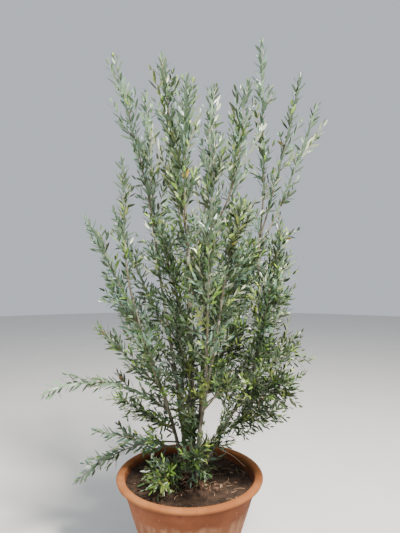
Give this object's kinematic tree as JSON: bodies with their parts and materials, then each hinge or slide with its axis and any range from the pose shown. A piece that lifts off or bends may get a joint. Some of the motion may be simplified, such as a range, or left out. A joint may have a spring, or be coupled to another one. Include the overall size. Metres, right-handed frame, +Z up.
{
  "type": "potted olive tree",
  "caption": "Young olive tree with several slender leaning stems and an airy upright crown of narrow grey-green leaves, growing in a tapered terracotta pot with a thick rounded rim.",
  "frame": {"origin": "centre of the pot's flat underside, where it stands on the ground", "axes": "+Z up, -Y the front the tree is seen from, +X to the right of that view"},
  "size_m": [1.3632, 1.0816, 2.4855],
  "materials": {
    "terracotta": "unglazed fired clay, orange-brown and damp-stained under the rim, paler with a bloom of lime below",
    "potting_soil": "crumbly dark brown potting soil with fallen leaves and bits of root",
    "bark": "smooth young bark, pale grey with brown patches, fine furrows and small knots",
    "foliage": "narrow leathery leaves, grey-green above and silvery beneath, yellow-green at young tips"
  },
  "bodies": {
    "root": {"pot": "terracotta", "soil": "potting_soil", "trunk": "bark", "stem_second": "bark", "stem_right": "bark", "stem_left": "bark", "stem_front_left": "bark", "stem_front": "bark", "stem_back": "bark", "bough_centre": "bark", "bough_right_fork": "bark", "bough_inner_right": "bark", "bough_right": "bark", "bough_back_left": "bark", "bough_back_right": "bark", "bough_front": "bark", "foliage_plume_far_left": "foliage", "foliage_plume_left_inner": "foliage", "foliage_plume_left_top": "foliage", "foliage_plume_middle": "foliage", "foliage_plume_middle_back": "foliage", "foliage_plume_right_inner": "foliage", "foliage_plume_top": "foliage", "foliage_plume_right_top": "foliage", "foliage_plume_far_right": "foliage", "foliage_plume_front": "foliage", "foliage_plume_back_left": "foliage", "foliage_plume_back_right": "foliage", "foliage_shoot_left": "foliage", "foliage_shoot_left_back": "foliage", "foliage_shoot_arching": "foliage", "foliage_tuft_centre_left": "foliage", "foliage_tuft_centre_front": "foliage", "foliage_tuft_centre_right": "foliage", "foliage_tuft_centre": "foliage", "foliage_tuft_right_middle": "foliage", "foliage_tuft_right": "foliage", "foliage_tuft_right_back": "foliage", "foliage_tuft_centre_back": "foliage", "foliage_tuft_left_middle": "foliage", "foliage_clump_right_front": "foliage", "foliage_clump_right": "foliage", "foliage_clump_right_back": "foliage", "foliage_clump_front": "foliage", "foliage_clump_centre": "foliage", "foliage_clump_centre_left": "foliage", "foliage_clump_centre_back": "foliage", "foliage_clump_right_low": "foliage", "foliage_clump_left_front": "foliage", "foliage_shoot_left_low": "foliage", "foliage_shoot_long_left": "foliage", "foliage_shoot_low_left": "foliage", "foliage_shoot_over_rim": "foliage", "foliage_clump_back_low": "foliage", "foliage_spray_on_soil": "foliage", "foliage_clump_foot_right": "foliage", "foliage_shoot_by_trunk": "foliage", "foliage_clump_foot_front": "foliage", "foliage_shoot_left_middle": "foliage", "foliage_clump_left_low": "foliage"}
  },
  "joints": []
}
